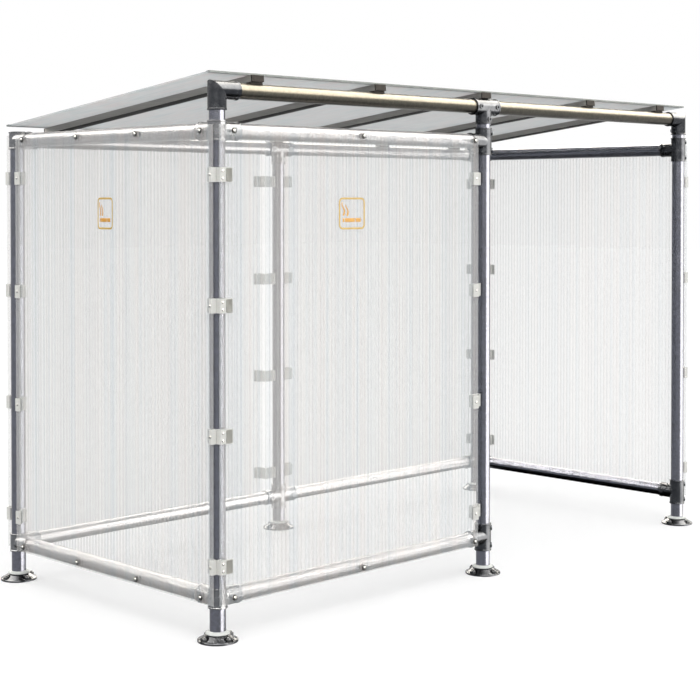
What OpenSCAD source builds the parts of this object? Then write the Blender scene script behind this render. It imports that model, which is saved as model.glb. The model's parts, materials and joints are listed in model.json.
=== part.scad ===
// Open-fronted smoking shelter: tube-and-clamp frame, twin-wall sheet walls and a mono-pitch sheet roof.
// X runs along the front from left to right, Y from front to back, Z up from the ground.

/* [Plan] */
// Distance between the axes of the two end posts, along the front
shelter_w = 3000; // [2400:10:3600]
// Distance between the axes of the front and back posts
shelter_d = 1330; // [1000:10:1800]

/* [Heights] */
// Height of the top rails' axis
top_rail_z = 1880; // [1700:5:2100]
// Bare length of the front posts between the top rails' tees and the fittings under the beam
post_show = 16; // [4:1:250]
// Height of the bottom rails' axis
bottom_rail_z = 160; // [140:5:240]

/* [Tube] */
// Outside diameter of every frame tube
tube_od = 60.3; // [48.3:0.1:62]
// Wall of every frame tube
tube_wall = 3.2; // [2.5:0.1:5]

/* [Clamp fittings] */
// Wall of a fitting's socket
fit_wall = 5; // [4:0.5:9]
// Gap all round between a tube and its socket
fit_clear = 0.3; // [0.2:0.05:0.6]
// Reach of a rail socket from the post's axis
socket_reach = 92; // [75:1:110]
// Length of a through sleeve on a post with one rail
tee_len = 118; // [90:1:125]
// Length of the sleeve that joins two tubes over a middle post
joint_sleeve_len = 150; // [120:1:200]
// Reach of the sockets that turn or hang from the beam and the back rail
arm_reach = 75; // [60:1:80]
// Height of the bead round a socket's mouth
lip_h = 1.5; // [1:0.5:4]
// Width of the bead round a socket's mouth
lip_w = 7; // [4:0.5:10]
// Step down from a sleeve's radius to that of a socket that branches from it
branch_step = 1; // [0.5:0.1:2]
// Diameter of a set-screw boss
boss_d = 22; // [16:1:24]
// Distance from a socket's bead to its set-screw boss
boss_set = 3; // [1:0.5:6]
// Height of a set-screw boss above its sleeve
boss_h = 4; // [2:0.5:6]
// Width across the flats of a set screw's hexagon recess
screw_af = 10; // [6:1:12]
// Depth of a set screw's hexagon recess
screw_depth = 5; // [3:0.5:8]

/* [Base flanges] */
// Diameter of a base flange
flange_d = 152; // [140:1:180]
// Thickness of a base flange at its rim
flange_t = 8; // [6:0.5:12]
// Width of the flange's flat rim outside its dome
hub_rim = 7; // [6:0.5:10]
// Height of the flange's hub above the ground
hub_h = 36; // [28:1:60]
// Distance of the anchor holes' axes from the flange's edge
bolt_edge = 14; // [13:0.5:18]
// Number of anchor holes in a flange
bolt_count = 4; // [3:1:6]
// Diameter of an anchor hole
bolt_hole_d = 13; // [9:0.5:16]
// Diameter of the flat spot face round an anchor hole
spot_d = 34; // [24:1:40]

/* [Roof] */
// Number of rafters
rafter_count = 5; // [4:1:7]
// Distance of the first and last rafters from the end posts' axes
rafter_inset = 184; // [150:1:300]
// Distance of the rafter over the open bay from its even place
open_bay_shift = 90; // [0:1:120]
// Width of a rafter
rafter_w = 60; // [30:1:70]
// Depth of a rafter
rafter_h = 25; // [20:1:50]
// Wall of a rafter's box section
rafter_wall = 2; // [1.5:0.1:4]
// Reach of a rafter with its caps beyond the saddles that carry it, front and back
rafter_over = 10; // [8:1:60]
// Thickness of a rafter's end cap
cap_t = 6; // [3:0.5:7]
// Length of the end cap's plug inside the rafter
cap_plug = 18; // [10:1:30]
// Length of a saddle under a rafter
saddle_len = 28; // [20:1:40]
// Thickness of the roof sheet
roof_t = 6; // [4:1:16]
// Reach of the roof sheet beyond the end posts' axes
roof_over_x = 40; // [0:1:70]
// Reach of the roof sheet beyond the tubes' axes, front and back
roof_over_y = 12; // [0:1:60]

/* [Panels] */
// Thickness of a wall panel
panel_t = 10; // [6:1:16]
// Skin and web of the twin-wall section
panel_skin = 0.8; // [0.5:0.1:1.2]
// Distance from one flute's web to the next
flute_pitch = 20; // [14:1:40]
// Gap between a panel's inner face and the fittings' beads
panel_gap = 0.3; // [0.2:0.1:2]
// Reach of a panel past the axis of the corner post that it laps
panel_lap = 23; // [10:1:26]
// Gap from the side panels' free edge to the other post's axis
side_edge_gap = 57; // [45:1:90]
// Gap from the front and back panels' free edge to the middle post's axis
bay_edge_gap = 87; // [60:1:110]
// Reach of the panels above and below the rails' axes
panel_reach_z = 22; // [18:1:40]

/* [Clips and spacers] */
// Number of clips down each panel edge
clip_rows = 4; // [2:1:6]
// Distance of the top clips from the panel's top edge
clip_top_end = 184; // [150:1:300]
// Distance of the bottom clips from the panel's bottom edge
clip_bottom_end = 142; // [130:1:300]
// Height of a clip
clip_h = 54; // [40:1:80]
// Thickness of a clip's plate and strap
clip_t = 3.5; // [2.5:0.5:5]
// Width of a clip's plate over a front or back panel's lapped edge
lap_plate_w = 56; // [50:1:70]
// Width of a clip's lip over a side panel's lapped edge
lap_lip_w = 12; // [8:1:20]
// Width of a clip's plates on a panel's free edge
strap_w = 34; // [28:1:60]
// Width of a clip's seat on the post
clip_seat = 40; // [36:1:46]
// Number of screws that hold a side panel to each rail
side_screws = 4; // [2:1:6]
// Number of screws that hold a front or back panel to each rail
bay_screws = 3; // [2:1:6]
// Diameter of the spacer behind a screw
spacer_d = 22; // [16:1:24]
// Distance of the first screw, on a fitting's socket, from the lapped post's axis
screw_lap = 42; // [36:1:60]
// Distance of the last screw from the far post's axis
screw_free = 106; // [104:1:140]

/* [Hidden] */
$fn = 64;

half_w = shelter_w / 2;
half_d = shelter_d / 2;
beam_z = top_rail_z + tee_len / 2 + post_show + arm_reach;
tube_r = tube_od / 2;
bore_r = tube_r + fit_clear;
fit_r = bore_r + fit_wall;
lip_r = fit_r + lip_h;
lip_chamfer = lip_h / 2;
branch_r = fit_r - branch_step;
// Distance of a set screw's axis from the mouth of its socket
screw_in = lip_w + boss_set + boss_d / 2;
// Half the height of a short sleeve, just over the rail socket's own size
corner_half = lip_r + 1;
// Place of a tube's square end inside a socket, from the axis of the tube that it meets
stop_r = fit_r;
tube_stop = stop_r + fit_clear;
// Metal left over the end of a post inside a closed corner
corner_cover = 4;
corner_post_top = corner_half - corner_cover - fit_clear;
// Half the gap between two tubes that meet inside a sleeve
meet_gap = 0.5;
// Reach of a cutting tool beyond the face that it cuts
over = 1;

// Rafters and roof lie in a frame that starts on the beam's axis and slopes down to the back rail's axis
rise = beam_z - top_rail_z;
slope = atan(rise / shelter_d);
slope_len = sqrt(pow(rise, 2) + pow(shelter_d, 2));
rafter_foot = fit_r + fit_clear;
roof_foot = rafter_foot + rafter_h + fit_clear;
rafter_pitch = (shelter_w - 2 * rafter_inset) / (rafter_count - 1);
open_bay_rafter = rafter_count - 2;
rafter_xs = [
  for (i = [0 : rafter_count - 1])
    i * rafter_pitch - half_w + rafter_inset + (i == open_bay_rafter ? open_bay_shift : 0)
];
// A rafter over a joint sleeve rests on the sleeve and needs no saddle
saddle_xs = [for (x = rafter_xs) if (abs(x) > joint_sleeve_len / 2 + rafter_w / 2) x];

// Panels
panel_in = lip_r + panel_gap;
panel_out = panel_in + panel_t;
panel_z0 = bottom_rail_z - panel_reach_z;
panel_h = top_rail_z + panel_reach_z - panel_z0;
side_panel_w = shelter_d + panel_lap - side_edge_gap;
bay_panel_w = half_w + panel_lap - bay_edge_gap;
clip_step = (panel_h - clip_top_end - clip_bottom_end) / (clip_rows - 1);
clip_zs = [for (i = [0 : clip_rows - 1]) panel_z0 + clip_bottom_end + i * clip_step];
rail_zs = [bottom_rail_z, top_rail_z];

tube_colour = "#9a9ca3";
iron_colour = "#3a3f49";
sheet_colour = [0.9, 0.91, 0.93, 0.55];
alloy_colour = "#77787b";
plastic_colour = "#35302d";
clip_colour = "#d9d8d2";

// Hollow tube from z0 to z1 along Z
module tube(z0, z1) {
  translate([0, 0, z0])
    difference() {
      cylinder(h = z1 - z0, r = tube_r);
      translate([0, 0, -over])
        cylinder(h = z1 - z0 + 2 * over, r = tube_r - tube_wall);
    }
}

// Turns a shape that runs along Z so that it runs along X or along Y
module along_x() {
  rotate([0, 90, 0])
    children();
}

module along_y() {
  rotate([-90, 0, 0])
    children();
}

// Solid socket of radius r from z0 to z1 along Z, with a bead round its mouth at z1
module socket(z0, z1, r) {
  rotate_extrude()
    polygon([
      [0, z0],
      [r, z0],
      [r, z1 - lip_w],
      [r + lip_h, z1 - lip_w + lip_h],
      [r + lip_h, z1 - lip_chamfer],
      [r + lip_h - lip_chamfer, z1],
      [0, z1]
    ]);
}

// Solid sleeve from z0 to z1 along Z, with a bead at both mouths
module sleeve(z0, z1) {
  rotate_extrude()
    polygon([
      [0, z0],
      [lip_r - lip_chamfer, z0],
      [lip_r, z0 + lip_chamfer],
      [lip_r, z0 + lip_w - lip_h],
      [fit_r, z0 + lip_w],
      [fit_r, z1 - lip_w],
      [lip_r, z1 - lip_w + lip_h],
      [lip_r, z1 - lip_chamfer],
      [lip_r - lip_chamfer, z1],
      [0, z1]
    ]);
}

// Bore for a tube, from z0 to z1 along Z
module tube_bore(z0, z1) {
  translate([0, 0, z0])
    cylinder(h = z1 - z0, r = bore_r);
}

// Set-screw boss at height z on a sleeve along Z, pointing at the given angle
module boss(z, angle) {
  translate([0, 0, z])
    rotate([0, 90, angle])
      translate([0, 0, bore_r + fit_wall / 2])
        cylinder(h = fit_wall / 2 + boss_h, d = boss_d);
}

module screw_recess(z, angle) {
  translate([0, 0, z])
    rotate([0, 90, angle])
      translate([0, 0, fit_r + boss_h - screw_depth])
        cylinder(h = screw_depth + over, d = screw_af / cos(30), $fn = 6);
}

// Post socket that hangs from a sleeve along X and stops under it
module hanging_socket() {
  mirror([0, 0, 1])
    socket(0, arm_reach, branch_r);
}

// Sleeve along X over the meeting ends of two tubes, with a socket below for the middle post
module joint_tee() {
  screw_z = joint_sleeve_len / 2 - screw_in;
  difference() {
    union() {
      along_x()
        sleeve(-joint_sleeve_len / 2, joint_sleeve_len / 2);
      hanging_socket();
      for (side = [-1, 1])
        along_x()
          boss(side * screw_z, -90);
      boss(-arm_reach + screw_in, -90);
    }
    along_x()
      tube_bore(-joint_sleeve_len / 2 - over, joint_sleeve_len / 2 + over);
    tube_bore(-arm_reach - over, -stop_r);
    for (side = [-1, 1])
      along_x()
        screw_recess(side * screw_z, -90);
    screw_recess(-arm_reach + screw_in, -90);
  }
}

// Half space above the mitre between +X and -Z, moved down by a sink
module above_mitre(sink) {
  block = 4 * socket_reach;
  rotate([0, -45, 0])
    translate([-sink, -block / 2, -block / 2])
      cube(block);
}

// Corner of the beam: a socket down, cut on the mitre, and a socket along +X that runs into it
module elbow() {
  post_screw = arm_reach - screw_in;
  beam_screw = socket_reach - screw_in;
  difference() {
    union() {
      difference() {
        mirror([0, 0, 1])
          socket(-lip_r, arm_reach, fit_r);
        above_mitre(0);
      }
      intersection() {
        along_x()
          socket(-lip_r, socket_reach, branch_r);
        above_mitre(branch_step);
      }
      boss(-post_screw, 90);
      along_x()
        boss(beam_screw, 90);
    }
    along_x()
      tube_bore(stop_r, socket_reach + over);
    tube_bore(-arm_reach - over, -stop_r);
    screw_recess(-post_screw, 90);
    along_x()
      screw_recess(beam_screw, 90);
  }
}

// Fitting on a post: a sleeve from z0 to z1 with rail sockets, each given as its angle and its screw's side
module post_fitting(z0, z1, bore_top, sockets, boss_angle) {
  screw_z = z1 - screw_in;
  screw_zs = screw_z > boss_d ? [-screw_z, screw_z] : [0];
  rail_screw = socket_reach - screw_in;
  difference() {
    union() {
      sleeve(z0, z1);
      for (s = sockets)
        rotate([0, 0, s[0]])
          along_x() {
            socket(0, socket_reach, branch_r);
            boss(rail_screw, s[1]);
          }
      for (z = screw_zs)
        boss(z, boss_angle);
    }
    tube_bore(z0 - over, bore_top);
    for (s = sockets)
      rotate([0, 0, s[0]])
        along_x() {
          tube_bore(stop_r, socket_reach + over);
          screw_recess(rail_screw, s[1]);
        }
    for (z = screw_zs)
      screw_recess(z, boss_angle);
  }
}

// Short open fitting, for a post that runs through
module through_corner(sockets, boss_angle) {
  post_fitting(-corner_half, corner_half, corner_half + over, sockets, boss_angle);
}

// Short closed fitting, for a post that ends at the rail
module closed_corner(sockets, boss_angle) {
  post_fitting(-corner_half, corner_half, corner_half - corner_cover, sockets, boss_angle);
}

// Long open fitting, for a post that runs through
module through_tee(sockets, boss_angle) {
  post_fitting(-tee_len / 2, tee_len / 2, tee_len / 2 + over, sockets, boss_angle);
}

// Domed base flange with a collar, a blind socket for the post and a spot-faced ring of anchor holes
module flange() {
  rim_edge = flange_t / 4;
  color(iron_colour)
    difference() {
      rotate_extrude()
        polygon([
          [0, 0],
          [flange_d / 2, 0],
          [flange_d / 2, flange_t - rim_edge],
          [flange_d / 2 - rim_edge, flange_t],
          [flange_d / 2 - hub_rim, flange_t + rim_edge],
          [lip_r, hub_h - lip_w],
          [lip_r, hub_h - lip_chamfer],
          [lip_r - lip_chamfer, hub_h],
          [0, hub_h]
        ]);
      tube_bore(flange_t, hub_h + over);
      for (i = [0 : bolt_count - 1])
        rotate([0, 0, i * 360 / bolt_count])
          translate([flange_d / 2 - bolt_edge, 0, 0]) {
            translate([0, 0, -over])
              cylinder(h = flange_t + 2 * over, d = bolt_hole_d);
            translate([0, 0, flange_t - rim_edge])
              cylinder(h = hub_h, d = spot_d);
          }
    }
}

module at_post(side, row) {
  translate([side * half_w, row * half_d, 0])
    children();
}

module post(side, row, top) {
  color(tube_colour)
    at_post(side, row)
      tube(flange_t + fit_clear, top);
}

front_post_top = beam_z - tube_stop;
back_corner_top = top_rail_z + corner_post_top;
back_middle_top = top_rail_z - tube_stop;

module post_front_left() { post(-1, -1, front_post_top); }
module post_front_middle() { post(0, -1, front_post_top); }
module post_front_right() { post(1, -1, front_post_top); }
module post_back_left() { post(-1, 1, back_corner_top); }
module post_back_middle() { post(0, 1, back_middle_top); }
module post_back_right() { post(1, 1, back_corner_top); }

module flange_front_left() { at_post(-1, -1) flange(); }
module flange_front_middle() { at_post(0, -1) flange(); }
module flange_front_right() { at_post(1, -1) flange(); }
module flange_back_left() { at_post(-1, 1) flange(); }
module flange_back_middle() { at_post(0, 1) flange(); }
module flange_back_right() { at_post(1, 1) flange(); }

// Tube along X at depth y and height z
module x_tube(x0, x1, y, z) {
  color(tube_colour)
    translate([0, y, z])
      along_x()
        tube(x0, x1);
}

// Tube along Y, between the front and back posts on one side
module side_tube(side, z) {
  color(tube_colour)
    translate([side * half_w, 0, z])
      along_y()
        tube(-half_d + tube_stop, half_d - tube_stop);
}

module beam_left() { x_tube(-half_w + tube_stop, -meet_gap, -half_d, beam_z); }
module beam_right() { x_tube(meet_gap, half_w - tube_stop, -half_d, beam_z); }

module top_rail_left() { side_tube(-1, top_rail_z); }
module top_rail_right() { side_tube(1, top_rail_z); }
module bottom_rail_left() { side_tube(-1, bottom_rail_z); }
module bottom_rail_right() { side_tube(1, bottom_rail_z); }
module top_rail_front() { x_tube(-half_w + tube_stop, -tube_stop, -half_d, top_rail_z); }
module bottom_rail_front() { x_tube(-half_w + tube_stop, -tube_stop, -half_d, bottom_rail_z); }

module top_rails_back() {
  x_tube(-half_w + tube_stop, -meet_gap, half_d, top_rail_z);
  x_tube(meet_gap, half_w - tube_stop, half_d, top_rail_z);
}

module bottom_rails_back() {
  x_tube(-half_w + tube_stop, -tube_stop, half_d, bottom_rail_z);
  x_tube(tube_stop, half_w - tube_stop, half_d, bottom_rail_z);
}

module fitting_at(side, row, z) {
  color(iron_colour)
    at_post(side, row)
      translate([0, 0, z])
        children();
}

module elbow_left() { fitting_at(-1, -1, beam_z) elbow(); }

module elbow_right() {
  fitting_at(1, -1, beam_z)
    mirror([1, 0, 0])
      elbow();
}

module beam_tee() { fitting_at(0, -1, beam_z) joint_tee(); }

module corners_front_left() {
  for (z = rail_zs)
    fitting_at(-1, -1, z)
      through_corner([[0, 90], [90, -90]], 45);
}

module corners_back_left() {
  fitting_at(-1, 1, top_rail_z)
    closed_corner([[0, -90], [-90, 90]], -45);
  fitting_at(-1, 1, bottom_rail_z)
    through_corner([[0, -90], [-90, 90]], -45);
}

module corners_back_right() {
  fitting_at(1, 1, top_rail_z)
    closed_corner([[180, 90], [-90, -90]], -135);
  fitting_at(1, 1, bottom_rail_z)
    through_corner([[180, 90], [-90, -90]], -135);
}

module tees_front_middle() {
  for (z = rail_zs)
    fitting_at(0, -1, z)
      through_tee([[180, -90]], -45);
}

module tees_front_right() {
  for (z = rail_zs)
    fitting_at(1, -1, z)
      through_tee([[90, 90]], -45);
}

module tees_back_middle() {
  fitting_at(0, 1, top_rail_z)
    joint_tee();
  fitting_at(0, 1, bottom_rail_z)
    through_tee([[0, -90], [180, 90]], -90);
}

// Places a shape in the sloping frame of the rafters
module on_slope() {
  translate([0, -half_d, beam_z])
    rotate([-slope, 0, 0])
      children();
}

rafter_y0 = -saddle_len / 2 - rafter_over + cap_t;
rafter_y1 = slope_len - rafter_y0;

// Plan of the box section in its own X and Z, shrunk by an inset all round
module rafter_section(inset) {
  translate([-rafter_w / 2 + inset, rafter_foot + inset])
    square([rafter_w - 2 * inset, rafter_h - 2 * inset]);
}

// Carries a section drawn in X and Z along Y, from y0 to y1
module along_slope(y0, y1) {
  translate([0, y1, 0])
    rotate([90, 0, 0])
      linear_extrude(y1 - y0)
        children();
}

module rafters() {
  color(alloy_colour)
    on_slope()
      for (x = rafter_xs)
        translate([x, 0, 0])
          along_slope(rafter_y0, rafter_y1)
            difference() {
              rafter_section(0);
              rafter_section(rafter_wall);
            }
}

// Cap plate over the end of a rafter, with a plug inside it
module rafter_cap(y_end, out) {
  plate_y = out > 0 ? [y_end, y_end + cap_t] : [y_end - cap_t, y_end];
  plug_y = out > 0 ? [y_end - cap_plug, y_end] : [y_end, y_end + cap_plug];
  along_slope(plate_y[0], plate_y[1])
    rafter_section(0);
  along_slope(plug_y[0], plug_y[1])
    rafter_section(rafter_wall + fit_clear);
}

module rafter_caps() {
  color(plastic_colour)
    on_slope()
      for (x = rafter_xs)
        translate([x, 0, 0]) {
          rafter_cap(rafter_y0, -1);
          rafter_cap(rafter_y1, 1);
        }
}

// Blocks that seat each rafter on the round top of the beam and of the back rail
module rafter_saddles() {
  color(plastic_colour)
    on_slope()
      for (x = saddle_xs, y = [0, slope_len])
        translate([x, y, 0])
          difference() {
            translate([-rafter_w / 2, -saddle_len / 2, tube_r / 2])
              cube([rafter_w, saddle_len, rafter_foot - tube_r / 2]);
            translate([-rafter_w / 2 - over, 0, 0])
              along_x()
                tube_bore(0, rafter_w + 2 * over);
          }
}

// Twin-wall section of the given width and thickness, with open flutes from edge to edge
module fluted_section(w, t) {
  cells = floor(w / flute_pitch);
  cell_w = (w - panel_skin) / cells;
  difference() {
    square([w, t]);
    for (i = [0 : cells - 1])
      translate([panel_skin + i * cell_w, panel_skin])
        square([cell_w - panel_skin, t - 2 * panel_skin]);
  }
}

module roof_sheet() {
  roof_w = shelter_w + 2 * roof_over_x;
  color(sheet_colour)
    on_slope()
      translate([-roof_w / 2, 0, roof_foot])
        along_slope(-roof_over_y, slope_len + roof_over_y)
          fluted_section(roof_w, roof_t);
}

// Upright panel in its own plan: X along the wall from the lapped edge, Y outwards from its inner face
module upright_panel(w) {
  color(sheet_colour)
    translate([0, 0, panel_z0])
      linear_extrude(panel_h)
        fluted_section(w, panel_t);
}

// Plan frame of one wall: the origin on the lapped post's axis, X along the wall, Y outwards
module on_left_wall() {
  translate([-half_w, -half_d, 0])
    rotate([0, 0, 90])
      children();
}

module on_front_wall() {
  translate([-half_w, -half_d, 0])
    mirror([0, 1, 0])
      children();
}

module on_right_wall() {
  mirror([1, 0, 0])
    on_left_wall()
      children();
}

module on_back_wall(side) {
  mirror([side > 0 ? 1 : 0, 0, 0])
    mirror([0, 1, 0])
      on_front_wall()
        children();
}

module wall_panel(w) {
  translate([-panel_lap, panel_in, 0])
    upright_panel(w);
}

module panel_left() { on_left_wall() wall_panel(side_panel_w); }
module panel_front() { on_front_wall() wall_panel(bay_panel_w); }
module panel_right() { on_right_wall() wall_panel(side_panel_w); }
module panel_back_left() { on_back_wall(-1) wall_panel(bay_panel_w); }
module panel_back_right() { on_back_wall(1) wall_panel(bay_panel_w); }

// Clip that grips a panel's lapped edge and seats on the post behind it
module lap_clip(plate_w) {
  edge = -panel_lap - panel_gap;
  outer = panel_out + panel_gap;
  inner = panel_in - panel_gap;
  // Clear of the clip on the other wall of the same corner
  foot = panel_lap + clip_t + 2 * panel_gap;
  translate([0, 0, -clip_h / 2])
    linear_extrude(clip_h)
      difference() {
        union() {
          translate([edge - clip_t, outer])
            square([plate_w, clip_t]);
          translate([edge - clip_t, foot])
            square([clip_t, outer + clip_t - foot]);
          translate([edge - clip_t, foot])
            square([clip_seat, inner - foot]);
        }
        circle(bore_r);
      }
}

// Bent strap from the post's side to the inside of a panel's free edge, and the plate outside it
module strap_clip(edge_gap) {
  outer = panel_out + panel_gap;
  inner = panel_in - panel_gap;
  elbow_u = edge_gap + clip_t;
  seat_t = 2 * clip_t;
  translate([0, 0, -clip_h / 2])
    linear_extrude(clip_h) {
      difference() {
        union() {
          translate([0, -clip_seat / 4])
            square([bore_r + seat_t, clip_seat / 2]);
          translate([bore_r + seat_t / 2, -clip_t / 2])
            square([elbow_u - bore_r - seat_t / 2, clip_t]);
          translate([elbow_u - clip_t, -clip_t / 2])
            square([clip_t, inner + clip_t / 2]);
          translate([elbow_u - clip_t, inner - clip_t])
            square([strap_w - 2 * clip_t, clip_t]);
        }
        circle(bore_r);
        translate([-bore_r, -bore_r])
          square([bore_r, 2 * bore_r]);
      }
      translate([edge_gap, outer])
        square([strap_w, clip_t]);
    }
}

// Clips up both edges of one wall's panel, in that wall's plan frame
module wall_clips(span, edge_gap, plate_w) {
  color(clip_colour)
    for (z = clip_zs)
      translate([0, 0, z]) {
        lap_clip(plate_w);
        translate([span, 0, 0])
          mirror([1, 0, 0])
            strap_clip(edge_gap);
      }
}

module clips_front() { on_front_wall() wall_clips(half_w, bay_edge_gap, lap_plate_w); }
module clips_left() { on_left_wall() wall_clips(shelter_d, side_edge_gap, lap_lip_w); }
module clips_right() { on_right_wall() wall_clips(shelter_d, side_edge_gap, lap_lip_w); }

module clips_back() {
  for (side = [-1, 1])
    on_back_wall(side)
      wall_clips(half_w, bay_edge_gap, lap_plate_w);
}

// Round spacers between the rails and the panel, in one wall's plan frame; the first screw needs none
module wall_spacers(span, count) {
  step = (span - screw_lap - screw_free) / (count - 1);
  color(plastic_colour)
    for (z = rail_zs, i = [1 : count - 1])
      translate([screw_lap + i * step, 0, z])
        difference() {
          along_y()
            translate([0, 0, tube_r / 2])
              cylinder(h = panel_in - panel_gap - tube_r / 2, d = spacer_d);
          translate([-spacer_d, 0, 0])
            along_x()
              tube_bore(0, 2 * spacer_d);
        }
}

module panel_spacers() {
  on_left_wall() wall_spacers(shelter_d, side_screws);
  on_right_wall() wall_spacers(shelter_d, side_screws);
  on_front_wall() wall_spacers(half_w, bay_screws);
  for (side = [-1, 1])
    on_back_wall(side)
      wall_spacers(half_w, bay_screws);
}

post_front_left();
post_front_middle();
post_front_right();
post_back_left();
post_back_middle();
post_back_right();
flange_front_left();
flange_front_middle();
flange_front_right();
flange_back_left();
flange_back_middle();
flange_back_right();
beam_left();
beam_right();
top_rail_left();
top_rail_front();
top_rails_back();
top_rail_right();
bottom_rail_left();
bottom_rail_front();
bottom_rails_back();
bottom_rail_right();
elbow_left();
elbow_right();
beam_tee();
corners_front_left();
corners_back_left();
corners_back_right();
tees_front_middle();
tees_front_right();
tees_back_middle();
rafters();
rafter_caps();
rafter_saddles();
roof_sheet();
panel_left();
panel_front();
panel_back_left();
panel_back_right();
panel_right();
clips_front();
clips_left();
clips_back();
clips_right();
panel_spacers();
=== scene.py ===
import json
import math

import bmesh
import bpy
import numpy as np
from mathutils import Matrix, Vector


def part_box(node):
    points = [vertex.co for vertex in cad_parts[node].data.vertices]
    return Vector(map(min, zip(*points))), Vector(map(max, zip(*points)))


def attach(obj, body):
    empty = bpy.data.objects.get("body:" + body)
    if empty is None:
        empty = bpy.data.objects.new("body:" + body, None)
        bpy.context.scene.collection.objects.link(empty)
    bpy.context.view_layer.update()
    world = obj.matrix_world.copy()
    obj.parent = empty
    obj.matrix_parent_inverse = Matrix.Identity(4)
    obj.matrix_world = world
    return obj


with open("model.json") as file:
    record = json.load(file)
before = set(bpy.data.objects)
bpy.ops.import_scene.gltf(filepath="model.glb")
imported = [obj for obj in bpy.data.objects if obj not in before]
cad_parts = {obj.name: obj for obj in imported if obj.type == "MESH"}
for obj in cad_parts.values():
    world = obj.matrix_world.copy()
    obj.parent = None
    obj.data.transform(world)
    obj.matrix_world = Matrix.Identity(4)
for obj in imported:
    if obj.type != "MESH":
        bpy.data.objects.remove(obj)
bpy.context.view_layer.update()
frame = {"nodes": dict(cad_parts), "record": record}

nodes = frame["nodes"]
scene = bpy.context.scene
MM = 0.001
RIGHT = np.array([1.0, 0.0, 0.0])
UP = np.array([0.0, 0.0, 1.0])
# A direction whose share of UP is over this counts as upright
UPRIGHT = 0.9
# Edges that turn by more than this many degrees stay sharp
SHARP_EDGE = 35

# Camera, fitted to the photograph's square frame, whose side is 700 pixels
FRAME_PX = 700
FOCAL_PX = 1561.0
SENSOR_MM = 36.0
CAMERA_AT = (-5.180, -5.088, 1.619)
CAMERA_TURN = -44.627
CAMERA_TILT = -1.0
HORIZON_PX = 229

# Studio levels, where 1 is the white of the background, and places and sizes in metres
SKY_LEVEL = 1.0
FLOOR_GLOW = 0.42
FLOOR_GREY = "#CFCFCF"
FLOOR_HALF = 40.0
FLOOR_GAP = 0.0005
FLAG_HALF = 4.0
FLAG_DEPTH = 1.5
# Each lamp's place, the point that it faces, its side, its glow, its colour and whether matt surfaces get it
LAMPS = {
    "key": ((-3.0, -6.0, 7.0), (0.0, 0.0, 0.9), 5.0, 2.2, "#FFFFFF", True),
    "right_reflector": ((16.8, -24.5, -0.5), (0.0, 0.0, -0.5), 35.0, 9.0, "#FFF8EC", False),
    "ceiling": ((0.0, 0.0, 8.0), (0.0, 0.0, 0.0), 40.0, 13.0, "#FFF7E9", False),
}
# Clear faces that a ray may cross: about a dozen through two fluted sheets, and many more at a flat angle
CLEAR_FACES = 48
# Two bounces of each kind are enough for the sheets and tubes, and keep the render short
BOUNCES = 2

# Patterns in the finishes: sizes in millimetres, and how many times a pattern is stretched along its lines
ZINC_CRYSTAL = 9
WEATHER_PATCH = 60
ZINC_GRAIN = 2
SAND_GRAIN = 2.5
ZINC_RUN = 30
DIE_LINE = 3
DIE_STRETCH = 40
SPARK_GRAIN = 1.2
FADE_PATCH = 25
FLUTE_PITCH = 20
FLUTE_STRETCH = 500
SKIN_RIPPLE = 35
BRUSH_LINE = 1.5
BRUSH_STRETCH = 20
PLATING_CLOUD = 6
RUBBER_DUST = 5
VINYL_FADE = 18

# Nodes that have their own light, or their own copy of a finish with painted light
BEAM_TUBES = ("beam_left", "beam_right")
BEAM_ELBOWS = ("elbow_left", "elbow_right")
SHEETED_FITTINGS = ("corners_front_left", "corners_back_left", "tees_back_middle")

# Wall sheets' screws: distances of a row's first and last from the axes of the posts at the sheet's two ends
FIRST_SCREW = 42 * MM
LAST_SCREW = 106 * MM

# Clips that hold the sheets to the posts
CLIP_ROWS = 4
CLIP_TOP_END = 184 * MM
CLIP_BOTTOM_END = 142 * MM
STRAP_WIDE = 34 * MM
CLIP_FACE = 3.8 * MM
PAIR_STEP = 27 * MM
TAB_ALONG = 14 * MM
TAB_WIDE = 28 * MM
TAB_TALL = 48 * MM
TAB_CORNER = 3 * MM
# Distance of a lapping clip's screws from the post's axis: in its plate, in its lip or in the front's pairs
PLATE_SCREW = 1.2 * MM
LIP_SCREW = -20.8 * MM
PAIR_SCREW = -16 * MM
# Gap from the far post's axis to the sheet's edge, and the screws in a row, on a side wall and on a bay
SIDE_WALL = (57 * MM, 4)
BAY_WALL = (87 * MM, 3)

# Anchor bolts in the base flanges
BOLT_CIRCLE_R = 62 * MM
BOLT_COUNT = 4
SPOT_FACE_Z = 6 * MM
# The stud's thread, in millimetres: pitch, radius, depth and lowest row, and the step and number of its rows
THREAD_PITCH = 1.75
THREAD_R = 5.7
THREAD_DEPTH = 0.35
THREAD_FOOT = 12.9
THREAD_STEP = 0.35
THREAD_ROWS = 14

# Roof fixings over the rafters
RAFTER_COUNT = 5
RAFTER_INSET = 184 * MM
# The rafters are evenly spaced, but the one in the middle of the open bay stands this much further right
OPEN_BAY_SHIFT = 90 * MM
ROOF_TOP = 67.05 * MM
RAFTER_FOOT = 35.75 * MM
ROOF_REACH = 12 * MM
ROOF_THICK = 6 * MM
ROOF_FIXINGS = 4
ROOF_FIXING_END = 70 * MM
# A black strip under each rafter, painted shade of its underside: its width, thickness, end gap and rows
STRIP_WIDE = 58 * MM
STRIP_THICK = 1.6 * MM
STRIP_END = 40 * MM
STRIP_ROWS = 9
TRIM_GRIP = 18 * MM
TRIM_WALL = 1.2 * MM
TRIM_GAP = 0.3 * MM
TRIM_ROWS = 17

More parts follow.
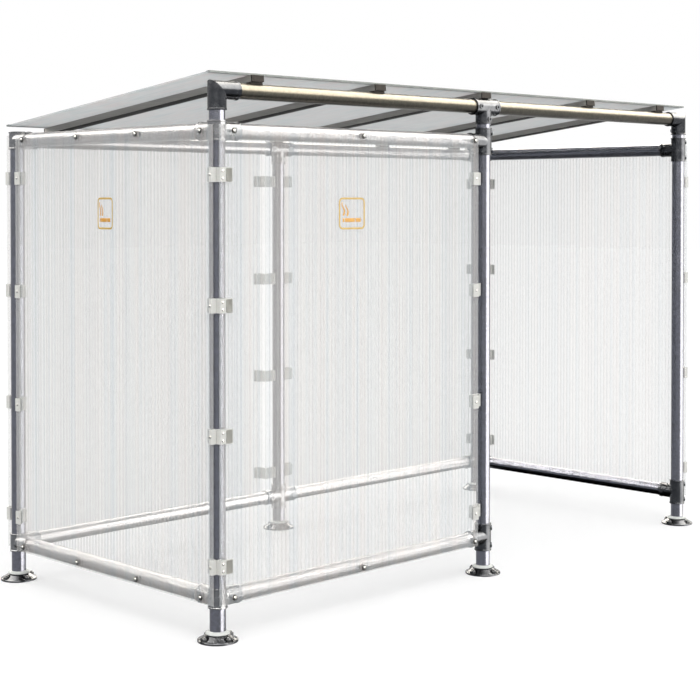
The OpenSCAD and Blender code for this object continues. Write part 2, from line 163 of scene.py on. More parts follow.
# Signs: for each wall the sign's middle, from the corner post's axis, and its width. Then the shared sizes
SIGNS = {"front": (650 * MM, 136 * MM), "left": (630 * MM, 94 * MM)}
SIGN_DRAWN_WIDE = 134 * MM
SIGN_HEIGHT = 1573 * MM
SIGN_TALL = 118 * MM
SIGN_CORNER = 16 * MM
SIGN_LINE = 7 * MM
VINYL = 0.5 * MM
CIGARETTE_DROP = -26 * MM
CIGARETTE_TALL = 15 * MM
CIGARETTE_ROWS = 5
# Begin and end of the cigarette's filter, paper and tip
CIGARETTE_PARTS = ((48 * MM, 20 * MM), (16 * MM, -38 * MM), (-42 * MM, -50 * MM))
# Start, rise, sway and number of turns of each wisp of smoke
SMOKE_WISPS = (((-46 * MM, -8 * MM), 52 * MM, 7 * MM, 0.9), ((-26 * MM, -10 * MM), 44 * MM, 6 * MM, 0.8))
# A wisp's width at its start, the share of it lost by its end, and the share of its sway at its start
SMOKE_LINE = 9 * MM
SMOKE_THINNING = 0.6
SMOKE_FIRST_SWAY = 0.4
SMOKE_ROWS = 25

# Sections of flat strips, from edge to edge over the face: shares of the half width and of the thickness
STRIP_ACROSS = np.array([1.0, 1.0, 0.93, -0.93, -1.0, -1.0])
STRIP_DEEP = np.array([0.0, 0.6, 1.0, 1.0, 0.6, 0.0])
VINYL_ACROSS = np.array([1.0, 1.0, 0.94, -0.94, -1.0, -1.0])
VINYL_PROUD = np.array([0.0, 0.7, 1.0, 1.0, 0.7, 0.0])

# Profiles of turned fixings from the face outwards, as turned() reads them, and the sides of their rings
FIXING_SIDES = 24
CLIP_SCREW_SIDES = 18
COLLAR_SIDES = 48
PANEL_WASHER = [(10.6, 0), (11, 0.4), (11, 1.2), (10.6, 1.7), (9, 1.9), (6, 1.9)]
PANEL_SCREW = (
    [(6.6, 1.9), (6.8, 2.2), (6.8, 2.9), (6.3, 4.2), (5.1, 5.4), (3.8, 6.1), (3.1, 6.3), (2.5, 6.3, 1)]
    + [(2.5, 3.6, 1)]
)
CLIP_SCREW = [(4.8, 0), (5, 0.3), (5, 1.3), (4.5, 2.4), (3.3, 3.1), (2.3, 3.3), (1.7, 3.3, 1), (1.7, 1.8, 1)]
ANCHOR_NUT = (
    [(11.6, 0), (12, 0.4), (12, 2.1), (11.6, 2.5), (9.3, 2.5, 0.4), (9.5, 3.2, 1), (9.5, 11.7, 1)]
    + [(9.3, 12.6, 0.3), (6.4, 12.8)]
    + [(THREAD_R, THREAD_FOOT + THREAD_STEP * i, 0, THREAD_DEPTH) for i in range(THREAD_ROWS)]
    + [(5.2, 18.0), (4.6, 18.4)]
)
# The collar ring's profile closes on itself, round the post
COLLAR_RING = (
    [(37.3, 27), (43.5, 27), (45.4, 28), (46, 29.8), (45.2, 31.6), (42, 34.4), (38, 36.9), (33, 38.2)]
    + [(30.8, 38.4), (30.6, 37.4), (31.4, 36.4), (37.3, 36.2)]
)
ROOF_BUTTON = (
    [(13, 0), (14, 0.8), (14, 2.0), (12.8, 2.8), (12.6, 3.0), (12.1, 4.6), (10.4, 6.6), (7.6, 8.0)]
    + [(4, 8.7), (1.2, 8.8)]
)
# Proud height and inset of a clip tab's outlines in millimetres, from its edge to its slightly sunk middle
TAB_STEPS = ((0, 0), (2.4, 0), (3.2, 0.8), (3.2, 2.4), (2.6, 3.2))
# Points on each quarter circle of a rounded outline
CORNER_POINTS = 9


def linear(colour):
    """An sRGB hex colour in linear light: c / 12.92 up to 0.04045, ((c + 0.055) / 1.055) ** 2.4 above."""
    channel = np.array([int(colour[i : i + 2], 16) for i in (1, 3, 5)]) / 255
    curve = np.where(channel <= 0.04045, channel / 12.92, ((channel + 0.055) / 1.055) ** 2.4)
    return (*curve.tolist(), 1.0)


def node(tree, kind, inputs=None, stops=(), **settings):
    """Adds a node with its settings. An input given as a socket is linked, and any other is set. A colour
    ramp runs through its stops of (position, hex colour)."""
    made = tree.nodes.new(kind)
    for name, value in settings.items():
        setattr(made, name, value)
    for name, value in (inputs or {}).items():
        if isinstance(value, bpy.types.NodeSocket):
            tree.links.new(value, made.inputs[name])
        else:
            made.inputs[name].default_value = value
    for index, (position, colour) in enumerate(stops):
        elements = made.color_ramp.elements
        element = elements[index] if index < len(elements) else elements.new(position)
        element.position = position
        element.color = linear(colour)
    return made


def per_metre(size):
    """The scale of a pattern whose features are that many millimetres across."""
    return 1 / (size * MM)


def new_material(name, settings):
    """A material with its shader's even values set, and its tree, shader and Object coordinates."""
    material = bpy.data.materials.new(name)
    material.use_nodes = True
    tree = material.node_tree
    shader = tree.nodes["Principled BSDF"]
    for socket, value in settings.items():
        shader.inputs[socket].default_value = value
    place = node(tree, "ShaderNodeTexCoord").outputs["Object"]
    return material, tree, shader, place


def finish_material(tree, shader, colour, gloss, relief=None, strength=0.0, depth=0.0):
    """Links a ramp's colour and a roughness (value, low, high) to the shader, and a relief as a bump of that
    strength and depth in millimetres."""
    value, low, high = gloss
    rough = node(tree, "ShaderNodeMapRange", {"Value": value, "To Min": low, "To Max": high})
    tree.links.new(colour.outputs["Color"], shader.inputs["Base Color"])
    tree.links.new(rough.outputs["Result"], shader.inputs["Roughness"])
    if relief is not None:
        bump = node(tree, "ShaderNodeBump", {"Height": relief, "Strength": strength, "Distance": depth * MM})
        tree.links.new(bump.outputs["Normal"], shader.inputs["Normal"])


def galvanised_steel(name, deep, bright, smooth, rough):
    """Hot-dip galvanised steel: the zinc froze in crystals about 9 mm across that mirror the light a little
    differently, and it has dulled with weather, so gloss varies in soft patches."""
    material, tree, shader, place = new_material(name, {"Metallic": 1.0})
    crystals = node(tree, "ShaderNodeTexVoronoi", {"Vector": place, "Scale": per_metre(ZINC_CRYSTAL)})
    patches = {"Vector": place, "Scale": per_metre(WEATHER_PATCH), "Detail": 5.0}
    weather = node(tree, "ShaderNodeTexNoise", patches).outputs["Fac"]
    grains = {"Vector": place, "Scale": per_metre(ZINC_GRAIN), "Detail": 2.0}
    grain = node(tree, "ShaderNodeTexNoise", grains).outputs["Fac"]
    stops = [(0.2, deep), (0.8, bright)]
    zinc = node(tree, "ShaderNodeValToRGB", {"Fac": crystals.outputs["Color"]}, stops)
    finish_material(tree, shader, zinc, (weather, smooth, rough), grain, strength=0.15, depth=0.1)
    return material


def cast_iron(name, deep, bright):
    """Malleable cast iron fitting, galvanised after casting: satin, with the sand mould's grain of about
    2.5 mm left under the zinc and darker hollows where the zinc ran thin."""
    material, tree, shader, place = new_material(name, {"Metallic": 1.0})
    grains = {"Vector": place, "Scale": per_metre(SAND_GRAIN), "Detail": 3.0}
    sand = node(tree, "ShaderNodeTexNoise", grains).outputs["Fac"]
    hollows = {"Vector": place, "Scale": per_metre(ZINC_RUN), "Detail": 4.0}
    runs = node(tree, "ShaderNodeTexNoise", hollows).outputs["Fac"]
    iron = node(tree, "ShaderNodeValToRGB", {"Fac": runs}, [(0.35, deep), (0.7, bright)])
    finish_material(tree, shader, iron, (runs, 0.2, 0.32), sand, strength=0.3, depth=0.2)
    return material


def extruded_aluminium():
    """Mill-finish extruded aluminium, weathered grey: fine die lines run along each rafter, so the pattern
    is stretched forty times along Y. The lines are drawn 3 mm apart, coarser than real ones, so that they
    show."""
    material, tree, shader, place = new_material("mill_finish_aluminium", {"Metallic": 0.6})
    along = node(tree, "ShaderNodeMapping", {"Vector": place, "Scale": (1.0, 1 / DIE_STRETCH, 1.0)})
    lines = {"Vector": along.outputs["Vector"], "Scale": per_metre(DIE_LINE), "Detail": 3.0}
    die = node(tree, "ShaderNodeTexNoise", lines).outputs["Fac"]
    alloy = node(tree, "ShaderNodeValToRGB", {"Fac": die}, [(0.3, "#7A7A78"), (0.7, "#878684")])
    finish_material(tree, shader, alloy, (die, 0.34, 0.5), die, strength=0.15, depth=0.1)
    return material


def moulded_plastic(name, deep, bright):
    """Plastic moulded with a fine spark texture, which keeps its shine low, and greyed by weather."""
    settings = {"Metallic": 0.0, "IOR": 1.49, "Specular IOR Level": 0.04}
    material, tree, shader, place = new_material(name, settings)
    grains = {"Vector": place, "Scale": per_metre(SPARK_GRAIN), "Detail": 2.0}
    spark = node(tree, "ShaderNodeTexNoise", grains).outputs["Fac"]
    patches = {"Vector": place, "Scale": per_metre(FADE_PATCH), "Detail": 3.0}
    fade = node(tree, "ShaderNodeTexNoise", patches).outputs["Fac"]
    colour = node(tree, "ShaderNodeValToRGB", {"Fac": fade}, [(0.35, deep), (0.7, bright)])
    finish_material(tree, shader, colour, (fade, 0.42, 0.58), spark, strength=0.3, depth=0.15)
    return material


def twin_wall_sheet(name, flutes, tints, veil, haze):
    """Extruded twin-wall polycarbonate: two thin opal skins on ribs. Each skin scatters a share of the light
    onwards, its haze. Of the rest it throws a share back, its veil, and lets the others straight through. The
    extruder leaves streaks as wide as the flutes, which run their whole length in cool and warm tints, so the
    pattern is stretched five hundred times."""
    settings = {"Metallic": 0.0, "IOR": 1.58, "Alpha": veil, "Specular IOR Level": 0.1}
    material, tree, shader, place = new_material(name, settings)
    along = node(tree, "ShaderNodeMapping", {"Vector": place, "Scale": flutes})
    lines = {"Vector": along.outputs["Vector"], "Scale": per_metre(FLUTE_PITCH), "Detail": 0.0}
    streaks = node(tree, "ShaderNodeTexNoise", lines).outputs["Fac"]
    cool, pale, warm = tints
    tint = node(tree, "ShaderNodeValToRGB", {"Fac": streaks}, [(0.36, cool), (0.5, pale), (0.64, warm)])
    waves = {"Vector": place, "Scale": per_metre(SKIN_RIPPLE), "Detail": 0.0}
    ripple = node(tree, "ShaderNodeTexNoise", waves).outputs["Fac"]
    # No bump: skins this clear would not show it, and each face on a sight line would have to work it out
    finish_material(tree, shader, tint, (ripple, 0.3, 0.45))
    onwards = node(tree, "ShaderNodeBsdfTranslucent", {"Color": tint.outputs["Color"]})
    skin = node(tree, "ShaderNodeMixShader", {0: haze, 1: shader.outputs[0], 2: onwards.outputs[0]})
    tree.links.new(skin.outputs[0], tree.nodes["Material Output"].inputs["Surface"])
    return material


def anodised_clip():
    """Satin anodised aluminium clip: pale, even and nearly matt, brushed along the strip before anodising.
    The brush lines are drawn 1.5 mm apart, coarser than real ones, so that they show."""
    settings = {"Metallic": 0.0, "Specular IOR Level": 0.05}
    material, tree, shader, place = new_material("satin_anodised_aluminium", settings)
    level = (1 / BRUSH_STRETCH, 1 / BRUSH_STRETCH, 1.0)
    along = node(tree, "ShaderNodeMapping", {"Vector": place, "Scale": level})
    lines = {"Vector": along.outputs["Vector"], "Scale": per_metre(BRUSH_LINE), "Detail": 2.0}
    brush = node(tree, "ShaderNodeTexNoise", lines).outputs["Fac"]
    pale = node(tree, "ShaderNodeValToRGB", {"Fac": brush}, [(0.3, "#D3D3CF"), (0.7, "#DFDFDB")])
    finish_material(tree, shader, pale, (brush, 0.45, 0.6), brush, strength=0.15, depth=0.1)
    return material


def zinc_plate():
    """Bright zinc-plated steel screw: a thin, smooth, faintly yellow-blue plating over turned steel."""
    material, tree, shader, place = new_material("bright_zinc_plate", {"Metallic": 1.0})
    clouds = {"Vector": place, "Scale": per_metre(PLATING_CLOUD), "Detail": 3.0}
    cloud = node(tree, "ShaderNodeTexNoise", clouds).outputs["Fac"]
    plating = node(tree, "ShaderNodeValToRGB", {"Fac": cloud}, [(0.35, "#74777D"), (0.7, "#92928C")])
    finish_material(tree, shader, plating, (cloud, 0.22, 0.36), cloud, strength=0.1, depth=0.1)
    return material


def black_rubber_with_shade():
    """Black ethylene-propylene rubber of washers and buttons: moulded matt, with a dusty bloom. The strips
    under the rafters use it too, as painted shade of their undersides.
    """
    settings = {"Metallic": 0.0, "Specular IOR Level": 0.1}
    material, tree, shader, place = new_material("black_epdm_rubber_and_painted_shade", settings)
    specks = {"Vector": place, "Scale": per_metre(RUBBER_DUST), "Detail": 4.0}
    dust = node(tree, "ShaderNodeTexNoise", specks).outputs["Fac"]
    black = node(tree, "ShaderNodeValToRGB", {"Fac": dust}, [(0.35, "#232323"), (0.75, "#3B3A39")])
    finish_material(tree, shader, black, (dust, 0.6, 0.8), dust, strength=0.25, depth=0.2)
    return material


def sign_vinyl(name, deep, bright):
    """Cut self-adhesive vinyl, calendered: an even colour that fades in patches, with slight orange peel."""
    settings = {"Metallic": 0.0, "Specular IOR Level": 0.15}
    material, tree, shader, place = new_material(name, settings)
    patches = {"Vector": place, "Scale": per_metre(VINYL_FADE), "Detail": 3.0}
    fade = node(tree, "ShaderNodeTexNoise", patches).outputs["Fac"]
    colour = node(tree, "ShaderNodeValToRGB", {"Fac": fade}, [(0.35, deep), (0.7, bright)])
    finish_material(tree, shader, colour, (fade, 0.35, 0.5), fade, strength=0.1, depth=0.1)
    return material


def middle(name):
    """The middle of a CAD node's box, in metres."""
    low, high = (np.array(corner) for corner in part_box(name))
    return (low + high) / 2


def post_feet():
    """The points on the ground under the posts' axes."""
    return np.array([middle(name) * [1, 1, 0] for name in nodes if name.startswith("post_")])


def put_piece(name, shape, material):
    """Makes a closed shape one smooth-shaded piece at the origin, faces outwards, that rides the frame."""
    points, faces = shape
    mesh = bpy.data.meshes.new(name)
    mesh.from_pydata(points.tolist(), [], faces)
    solid = bmesh.new()
    solid.from_mesh(mesh)
    bmesh.ops.recalc_face_normals(solid, faces=solid.faces)
    solid.to_mesh(mesh)
    solid.free()
    mesh.shade_smooth()
    mesh.set_sharp_from_angle(angle=math.radians(SHARP_EDGE))
    mesh.materials.append(material)
    piece = bpy.data.objects.new(name, mesh)
    scene.collection.objects.link(piece)
    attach(piece, "root")


def ring_faces(rings, sides, closed=False):
    """Quads between neighbouring rings of points, and a flat face over each end unless they close up."""
    row, side = np.meshgrid(np.arange(rings if closed else rings - 1), np.arange(sides), indexing="ij")
    beside = (side + 1) % sides
    after = (row + 1) % rings
    quads = [row * sides + side, row * sides + beside, after * sides + beside, after * sides + side]
    faces = np.stack(quads, axis=-1).reshape(-1, 4).tolist()
    if closed:
        return faces
    end = np.arange(sides)
    return faces + [end[::-1].tolist(), (end + (rings - 1) * sides).tolist()]


def turned(profile, sides=FIXING_SIDES, closed=False):
    """A turned shape, or a ring where its profile is closed. A profile's row is (radius, height, hexagon
    share, thread depth) in millimetres. With a the angle from the middle of its sixth, its ring's radius is
    r (1 + k (1 / cos(a) - 1)), a circle where the share k is 0 and a hexagon with flats at r where it is 1,
    plus the thread's depth times sin(2 pi height / pitch - angle)."""
    rows = np.array([(*row, 0, 0)[:4] for row in profile], dtype=float)
    radius, height, share, depth = (column[:, None] for column in rows.T)
    angle = np.arange(sides)[None, :] * 2 * np.pi / sides
    hexagon = 1 / np.cos(angle % (np.pi / 3) - np.pi / 6)
    thread = depth * np.sin(2 * np.pi * height / THREAD_PITCH - angle)
    ring = radius * (1 + share * (hexagon - 1)) + thread
    grid = np.stack(np.broadcast_arrays(ring * np.cos(angle), ring * np.sin(angle), height), axis=-1)
    return grid.reshape(-1, 3) * MM, ring_faces(len(rows), sides, closed)


def joined(shapes):
    """Several shapes as one."""
    starts = np.cumsum([0] + [len(points) for points, _ in shapes])
    faces = [[int(start) + i for i in face] for start, shape in zip(starts, shapes) for face in shape[1]]
    return np.concatenate([points for points, _ in shapes]), faces


def copies(shape, origins, axis):
    """A shape at each origin, its own Z along the axis: point = origin + x side + y over + z axis."""
    points, faces = shape
    axis = np.asarray(axis, dtype=float)
    lean = RIGHT if abs(axis @ UP) > UPRIGHT else UP
    side = np.cross(lean, axis)
    side /= np.linalg.norm(side)
    turn = np.stack([side, np.cross(axis, side), axis])
    placed = (points @ turn)[None, :, :] + origins.reshape(-1, 1, 3)
    return joined([(one, faces) for one in placed])


def rounded_outline(wide, tall, corner):
    """A rounded rectangle's path: in each corner a quarter circle about a point a radius in from its sides."""
    turn = np.linspace(0, np.pi / 2, CORNER_POINTS)[None, :] + np.arange(4)[:, None] * np.pi / 2
    reach = np.array([wide, tall]) / 2 - corner
    centre = np.array([[1, 1], [-1, 1], [-1, -1], [1, -1]])[:, None, :] * reach
    arcs = centre + corner * np.stack([np.cos(turn), np.sin(turn)], axis=-1)
    return arcs.reshape(-1, 2)


class Wall:
    """A clad wall. On its sheet's outer face, u runs from the post that the sheet laps to the far post."""

    def __init__(self, panel, lapped, far, outward, kind, lap_screw):
        start, end = middle("post_" + lapped), middle("post_" + far)
        self.out = np.array(outward, dtype=float)
        self.span = np.linalg.norm((end - start)[:2])
        self.along = (end - start) * [1, 1, 0] / self.span
        self.right = 1 if np.cross(self.along, UP) @ self.out > 0 else -1
        self.low, self.high = (np.array(corner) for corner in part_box(panel))
        face = max(self.low @ self.out, self.high @ self.out)
        self.origin = start * [1, 1, 0] + self.out * (face - start @ self.out)
        self.edge_gap, self.screws = kind
        self.lap_screw = lap_screw

    def at(self, u, z, proud=0.0):
        """Points at u along the outer face, z above the ground and proud of the face."""
        u, z, proud = (part[..., None] for part in np.broadcast_arrays(u, z, proud))
        return self.origin + u * self.along + z * UP + proud * self.out

    def clip_rows(self):
        """Heights of the clips, evenly spaced from the lowest to the highest."""
        return np.linspace(self.low[2] + CLIP_BOTTOM_END, self.high[2] - CLIP_TOP_END, CLIP_ROWS)


class Slope:
    """The roof's plane: x along the beam, s down the slope from the beam's axis and h square to it."""

    def __init__(self):
        beam, back = middle("beam_left"), middle("top_rails_back")
        fall = (back - beam) * [0, 1, 1]
        self.start = beam * [0, 1, 1]
        self.length = np.linalg.norm(fall)
        self.down = fall / self.length
        self.normal = np.cross(RIGHT, self.down)
        half = middle("post_front_right")[0] - RAFTER_INSET
        self.rafters = np.linspace(-half, half, RAFTER_COUNT)
        self.rafters[-2] += OPEN_BAY_SHIFT

    def at(self, x, s, h):
        """Points at x, s and h."""
        x, s, h = (part[..., None] for part in np.broadcast_arrays(x, s, h))
        return self.start + x * RIGHT + s * self.down + h * self.normal


def panel_screws():
    """Domed screws on rubber washers along the rails, evenly spaced between a sheet's first and last."""
    rails = [middle("bottom_rail_front")[2], middle("top_rail_front")[2]]
    screws, washers = [], []
    for wall in WALLS.values():
        u, z = np.meshgrid(np.linspace(FIRST_SCREW, wall.span - LAST_SCREW, wall.screws), rails)
        screws.append(copies(turned(PANEL_SCREW), wall.at(u, z), wall.out))
        washers.append(copies(turned(PANEL_WASHER), wall.at(u, z), wall.out))
    put_piece("panel_screws", joined(screws), ZINC_PLATE)
    put_piece("panel_washers", joined(washers), BLACK_RUBBER_AND_SHADE)


def clip_screws():
    """Pan-head screws in the clips: one in each plate or lip, but an upright pair at the front corner."""
    shapes = []
    for name, wall in WALLS.items():
        rows = wall.clip_rows()
        pair = np.array([[-0.5], [0.5]]) * PAIR_STEP if name == "front" else 0.0
        far = wall.span - wall.edge_gap - STRAP_WIDE / 2
        for u, z in ((wall.lap_screw, rows + pair), (far, rows)):
            shapes.append(copies(turned(CLIP_SCREW, CLIP_SCREW_SIDES), wall.at(u, z, CLIP_FACE), wall.out))
    put_piece("clip_screws", joined(shapes), ZINC_PLATE)


def clip_tabs():
    """A moulded tab over the inner half of each clip at the front corner: outlines stepped in and raised."""
    wall = WALLS["front"]
    shapes = []
    for row in wall.clip_rows():
        rings = []
        for proud, inset in TAB_STEPS:
            flat = rounded_outline(TAB_WIDE - 2 * inset * MM, TAB_TALL - 2 * inset * MM, TAB_CORNER)
            rings.append(wall.at(TAB_ALONG + flat[:, 0], row + flat[:, 1], CLIP_FACE + proud * MM))
        shapes.append((np.concatenate(rings), ring_faces(len(rings), len(rings[0]))))
    put_piece("clip_tabs", joined(shapes), TAB_GREY)


def collar_rings():
    """A pale ring round each post's foot, over the collar of its flange, whose pale grey is painted highlight
    on the top of the flange's hub.
    """
    rings = copies(turned(COLLAR_RING, COLLAR_SIDES, closed=True), post_feet(), UP)
    put_piece("collar_rings", rings, HUB_HIGHLIGHT_GREY)


def anchor_nuts():
    """A washer, a hexagon nut and the stud's threaded end in each spot face of the flanges."""
    turn = np.arange(BOLT_COUNT) * 2 * np.pi / BOLT_COUNT
    ring = np.stack([np.cos(turn), np.sin(turn), 0 * turn], axis=-1) * BOLT_CIRCLE_R
    origins = post_feet()[:, None, :] + ring[None, :, :] + UP * SPOT_FACE_Z
    put_piece("anchor_nuts", copies(turned(ANCHOR_NUT), origins, UP), DULL_ZINC)


def roof_buttons():
    """Sealing buttons on the roof's upper face, in a row over each rafter and square to the slope."""
    rows = np.linspace(ROOF_FIXING_END, SLOPE.length - ROOF_FIXING_END, ROOF_FIXINGS)
    origins = SLOPE.at(SLOPE.rafters[:, None], rows[None, :], ROOF_TOP)
    put_piece("roof_buttons", copies(turned(ROOF_BUTTON), origins, SLOPE.normal), BLACK_RUBBER_AND_SHADE)


def rafter_shade_strips():
    """A strip of the black rubber under each rafter, whose black is painted shade of the rafter's underside: a
    flat section with rounded edges carried down the slope.
    """
    across = STRIP_ACROSS * STRIP_WIDE / 2
    deep = STRIP_DEEP * STRIP_THICK
    run = np.linspace(STRIP_END, SLOPE.length - STRIP_END, STRIP_ROWS)[:, None]
    shapes = []
    for x in SLOPE.rafters:
        rings = SLOPE.at(x + across, run, RAFTER_FOOT - deep)
        shapes.append((rings.reshape(-1, 3), ring_faces(len(run), len(across))))
    put_piece("rafter_shade_strips", joined(shapes), BLACK_RUBBER_AND_SHADE)


def edge_trims():
    """An angle trim over the sheet's open flutes at the front and back: an L section, whose lip lies on the
    sheet and whose face hangs over its edge, carried along the edge."""
    low, high = ROOF_TOP - ROOF_THICK, ROOF_TOP + TRIM_GAP
    face, lip = -(TRIM_WALL + TRIM_GAP), high + TRIM_WALL
    inner = [(TRIM_GRIP, high), (-TRIM_GAP, high), (-TRIM_GAP, low)]
    outer = [(face, low), (face, lip - TRIM_WALL / 2), (face + TRIM_WALL / 2, lip), (TRIM_GRIP, lip)]
    inward, h = np.array(inner + outer).T
    sheet_low, sheet_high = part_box("roof_sheet")
    run = np.linspace(sheet_low[0], sheet_high[0], TRIM_ROWS)[:, None]
    front = SLOPE.at(run, -ROOF_REACH + inward, h)
    back = SLOPE.at(run, SLOPE.length + ROOF_REACH - inward, h)
    shapes = [(rings.reshape(-1, 3), ring_faces(len(run), len(h))) for rings in (front, back)]
    put_piece("edge_trims", joined(shapes), TRIM_GREY)


def band(wall, sign, path, width, closed=False):
    """A low flat ridge carried along a path on a wall's sign, which is given as its middle along the wall and
    its width. Its section, from one edge over the top to the other, lies across the path's direction, which
    is the difference of the points on either side."""
    if closed:
        ahead = np.roll(path, -1, axis=0) - np.roll(path, 1, axis=0)
    else:
        ahead = np.gradient(path, axis=0)
    ahead /= np.linalg.norm(ahead, axis=1, keepdims=True)
    across = np.stack([-ahead[:, 1], ahead[:, 0]], axis=-1)
    reach = np.broadcast_to(width, len(path))[:, None] / 2 * VINYL_ACROSS
    flat = path[:, None, :] + across[:, None, :] * reach[..., None]
    along, wide = sign
    squeeze = wide / SIGN_DRAWN_WIDE
    u = along + wall.right * squeeze * flat[..., 0]
    rings = wall.at(u, SIGN_HEIGHT + flat[..., 1], VINYL_PROUD * VINYL)
    return rings.reshape(-1, 3), ring_faces(len(path), len(VINYL_ACROSS), closed)


def smoke_wisp(start, rise, sway, turns):
    """A wisp's path: it rises evenly from its start, and its sway grows from a first share f, as
    sway (f + s) sin(2 pi turns s)."""
    s = np.linspace(0, 1, SMOKE_ROWS)
    aside = sway * (SMOKE_FIRST_SWAY + s) * np.sin(2 * np.pi * turns * s)
    return np.stack([start[0] + aside, start[1] + rise * s], axis=-1)


def signs():
    """A plain smoking sign on the front and left walls: a rounded outline, a cigarette and its smoke."""
    outlines, cigarettes = [], []
    taper = SMOKE_LINE * (1 - SMOKE_THINNING * np.linspace(0, 1, SMOKE_ROWS))
    frame_path = rounded_outline(SIGN_DRAWN_WIDE, SIGN_TALL, SIGN_CORNER)
    drop = np.full(CIGARETTE_ROWS, CIGARETTE_DROP)
    for name, sign in SIGNS.items():
        wall = WALLS[name]
        outlines.append(band(wall, sign, frame_path, SIGN_LINE, closed=True))
        for begin, end in CIGARETTE_PARTS:
            bar = np.stack([np.linspace(begin, end, CIGARETTE_ROWS), drop], axis=-1)
            cigarettes.append(band(wall, sign, bar, CIGARETTE_TALL))
        for wisp in SMOKE_WISPS:
            cigarettes.append(band(wall, sign, smoke_wisp(*wisp), taper))
    put_piece("sign_outlines", joined(outlines), sign_vinyl("gold_vinyl", "#BE9A45", "#CFAE5C"))
    put_piece("sign_cigarettes", joined(cigarettes), sign_vinyl("orange_vinyl", "#C98A2A", "#D9A23C"))


def lamp(name, at, aim, side, glow, colour, lights_matt):
    """A soft square lamp facing a point. Its power is its glow times pi times its area."""
    light = bpy.data.lights.new(name, "AREA")
    light.shape = "SQUARE"
    light.size = side
    light.energy = glow * math.pi * side * side
    light.color = linear(colour)[:3]
    made = bpy.data.objects.new(name, light)
    made.location = at
    made.rotation_euler = (Vector(aim) - Vector(at)).to_track_quat("-Z", "Y").to_euler()
    made.visible_diffuse = lights_matt
    scene.collection.objects.link(made)
    return made


def square_card(name, half, height, material):
    """A level square of the studio at that height, half its side given."""
    mesh = bpy.data.meshes.new(name)
    corners = [(-half, -half, 0), (half, -half, 0), (half, half, 0), (-half, half, 0)]
    mesh.from_pydata(corners, [], [(0, 1, 2, 3)])
    mesh.materials.append(material)
    made = bpy.data.objects.new(name, mesh)
    made.location.z = height
    scene.collection.objects.link(made)
    return made


def surround():
    """An even white surround."""
    world = bpy.data.worlds.new("studio")
    world.use_nodes = True
    background = world.node_tree.nodes["Background"]
    background.inputs["Color"].default_value = linear("#FFFFFF")
    background.inputs["Strength"].default_value = SKY_LEVEL
    # Rays find a surround this even by themselves
    world.cycles.sampling_method = "NONE"
    scene.world = world


def pale_floor():
    """A pale matt floor that keeps the shadow. To rays from the camera, from metal and through glass it also
    glows, up to the white of the background."""
    paint = bpy.data.materials.new("pale_floor")
    paint.use_nodes = True
    tree = paint.node_tree
    tree.nodes.remove(tree.nodes["Principled BSDF"])
    rays = node(tree, "ShaderNodeLightPath").outputs
    seen = {0: rays["Is Camera Ray"], 1: rays["Is Glossy Ray"]}
    metal = node(tree, "ShaderNodeMath", seen, operation="MAXIMUM")
    seen = {0: metal.outputs[0], 1: rays["Is Transmission Ray"]}
    glass = node(tree, "ShaderNodeMath", seen, operation="MAXIMUM")
    glow = node(tree, "ShaderNodeMath", {0: glass.outputs[0], 1: FLOOR_GLOW}, operation="MULTIPLY")
    shine = node(tree, "ShaderNodeEmission", {"Color": linear("#FFFFFF"), "Strength": glow.outputs[0]})
    matt = node(tree, "ShaderNodeBsdfDiffuse", {"Color": linear(FLOOR_GREY)})
    both = node(tree, "ShaderNodeAddShader", {0: matt.outputs[0], 1: shine.outputs[0]})
    tree.links.new(both.outputs[0], tree.nodes["Material Output"].inputs["Surface"])
    floor = square_card("floor", FLOOR_HALF, -FLOOR_GAP, paint)
    # The right-hand lamp reaches below the floor, so that the posts mirror it down to their feet
    floor.visible_glossy = False
    floor.visible_shadow = False


def black_flag():
    """A black card under the floor, which only mirrors see: it keeps undersides of tubes and rafters dark."""
    black = bpy.data.materials.new("black_card")
    black.use_nodes = True
    shader = black.node_tree.nodes["Principled BSDF"]
    shader.inputs["Base Color"].default_value = linear("#000000")
    shader.inputs["Specular IOR Level"].default_value = 0.0
    flag = square_card("flag", FLAG_HALF, -FLAG_DEPTH, black)
    flag.visible_camera = False
    flag.visible_diffuse = False
    flag.visible_transmission = False
    flag.visible_shadow = False


def studio_lamps():
    """The lamps. The reflector is kept off the beam and its elbows, so that they shade from pale tops to
    dark undersides."""
    made = {name: lamp(name, *settings) for name, settings in LAMPS.items()}
    spared = bpy.data.collections.new("beam_and_elbows")
    for name in BEAM_TUBES + BEAM_ELBOWS:
        spared.objects.link(nodes[name])
    for entry in spared.collection_objects:
        entry.light_linking.link_state = "EXCLUDE"
    made["right_reflector"].light_linking.receiver_collection = spared


def camera():
    """The photograph's viewpoint, with its horizon set by the shift."""
    lens = bpy.data.cameras.new("camera")
    lens.sensor_width = SENSOR_MM
    lens.lens = SENSOR_MM * FOCAL_PX / FRAME_PX
    lens.shift_y = (HORIZON_PX - FRAME_PX / 2) / FRAME_PX
    made = bpy.data.objects.new("camera", lens)
    made.location = CAMERA_AT
    made.rotation_euler = (math.radians(90 + CAMERA_TILT), 0, math.radians(CAMERA_TURN))
    scene.collection.objects.link(made)
    scene.camera = made


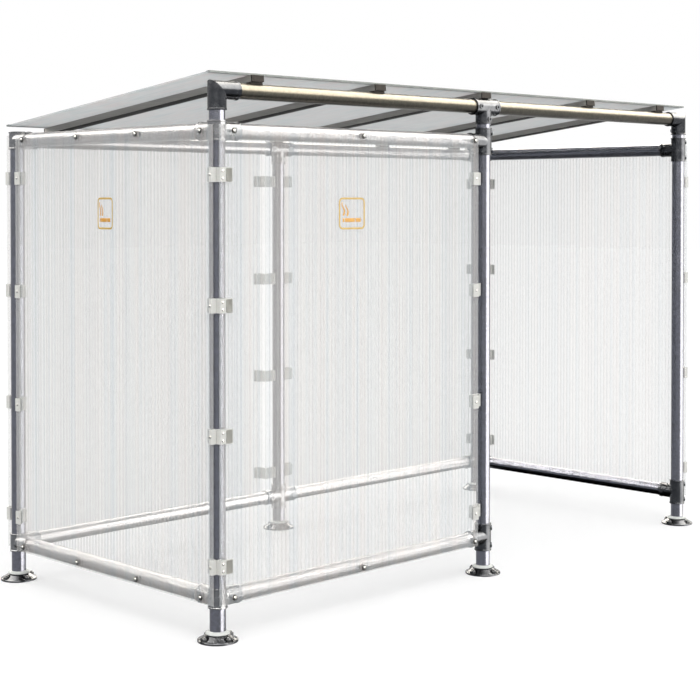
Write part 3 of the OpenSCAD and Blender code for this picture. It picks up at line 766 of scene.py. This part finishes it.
# Finishes of the frame's nodes, by their slots
ROOF_FLUTES = (1.0, 1 / FLUTE_STRETCH, 1.0)
WALL_FLUTES = (1.0, 1.0, 1 / FLUTE_STRETCH)
ROOF_TINTS = ("#DDE1E2", "#E7E8E8", "#E5E2E2")
WALL_TINTS = ("#E0E6EA", "#FAFBF9", "#F2EDEA")
SLOT_MATERIALS = {
    "galvanised_tube": galvanised_steel(
        "hot_dip_galvanised_steel", "#575960", "#61636D", smooth=0.14, rough=0.3
    ),
    "clamp_iron": cast_iron("galvanised_cast_iron", "#2E3034", "#3C3E42"),
    "rafter_alloy": extruded_aluminium(),
    "dark_plastic": moulded_plastic("black_polypropylene", "#211F1E", "#2F2B29"),
    "roof_sheet": twin_wall_sheet(
        "grey_twin_wall_polycarbonate", ROOF_FLUTES, ROOF_TINTS, veil=0.16, haze=0.4
    ),
    "wall_sheet": twin_wall_sheet(
        "opal_twin_wall_polycarbonate", WALL_FLUTES, WALL_TINTS, veil=0.082, haze=0.06
    ),
    "clip_metal": anodised_clip(),
}
for subpart in frame["record"]["subparts"]:
    nodes[subpart["node"]].data.materials[0] = SLOT_MATERIALS[subpart["material_slot"]]

# Painted light: the beam's zinc is a warm, darker copy of the galvanised steel, tinted so that its highlights
# come out cream.
CREAM_SHEEN_ZINC = galvanised_steel("warm_galvanised_steel_painted_sheen", "#4B4943", "#55524B", smooth=0.28, rough=0.4)
# Painted light: rails other than the right-hand ones, and fittings behind the sheets, get paler copies of the
# zinc and iron, so that they show pale through the sheets
PALE_LIT_ZINC = galvanised_steel("bright_galvanised_steel", "#6C6D71", "#77787C", smooth=0.26, rough=0.38)
PALE_LIT_IRON = cast_iron("bright_galvanised_cast_iron", "#5A5C60", "#686A6E")
for name in nodes:
    if name in BEAM_TUBES:
        nodes[name].data.materials[0] = CREAM_SHEEN_ZINC
    elif "rail" in name and not name.endswith("right"):
        nodes[name].data.materials[0] = PALE_LIT_ZINC
    elif name in SHEETED_FITTINGS:
        nodes[name].data.materials[0] = PALE_LIT_IRON

# Finishes of the pieces made here
DULL_ZINC = galvanised_steel("dull_galvanised_steel", "#333538", "#404245", smooth=0.3, rough=0.45)
ZINC_PLATE = zinc_plate()
# Black rubber of washers and buttons, and painted shade under the rafters
BLACK_RUBBER_AND_SHADE = black_rubber_with_shade()
# Pale grey of the rings at the posts' feet, painted highlight on the flange hubs
HUB_HIGHLIGHT_GREY = moulded_plastic("pale_grey_painted_highlight", "#D2D5D2", "#DDE0DD")
TRIM_GREY = moulded_plastic("grey_polycarbonate_trim", "#8B908E", "#9A9F9C")
TAB_GREY = moulded_plastic("grey_nylon", "#94938D", "#A5A49E")

SLOPE = Slope()
WALLS = {
    "left": Wall("panel_left", "front_left", "back_left", (-1, 0, 0), SIDE_WALL, LIP_SCREW),
    "front": Wall("panel_front", "front_left", "front_middle", (0, -1, 0), BAY_WALL, PAIR_SCREW),
    "right": Wall("panel_right", "front_right", "back_right", (1, 0, 0), SIDE_WALL, LIP_SCREW),
    "back_left": Wall("panel_back_left", "back_left", "back_middle", (0, 1, 0), BAY_WALL, PLATE_SCREW),
    "back_right": Wall("panel_back_right", "back_right", "back_middle", (0, 1, 0), BAY_WALL, PLATE_SCREW),
}
panel_screws()
clip_screws()
clip_tabs()
collar_rings()
anchor_nuts()
roof_buttons()
rafter_shade_strips()
edge_trims()
signs()

surround()
pale_floor()
black_flag()
studio_lamps()
camera()
scene.view_settings.view_transform = "Standard"
scene.cycles.transparent_max_bounces = CLEAR_FACES
scene.cycles.diffuse_bounces = BOUNCES
scene.cycles.glossy_bounces = BOUNCES
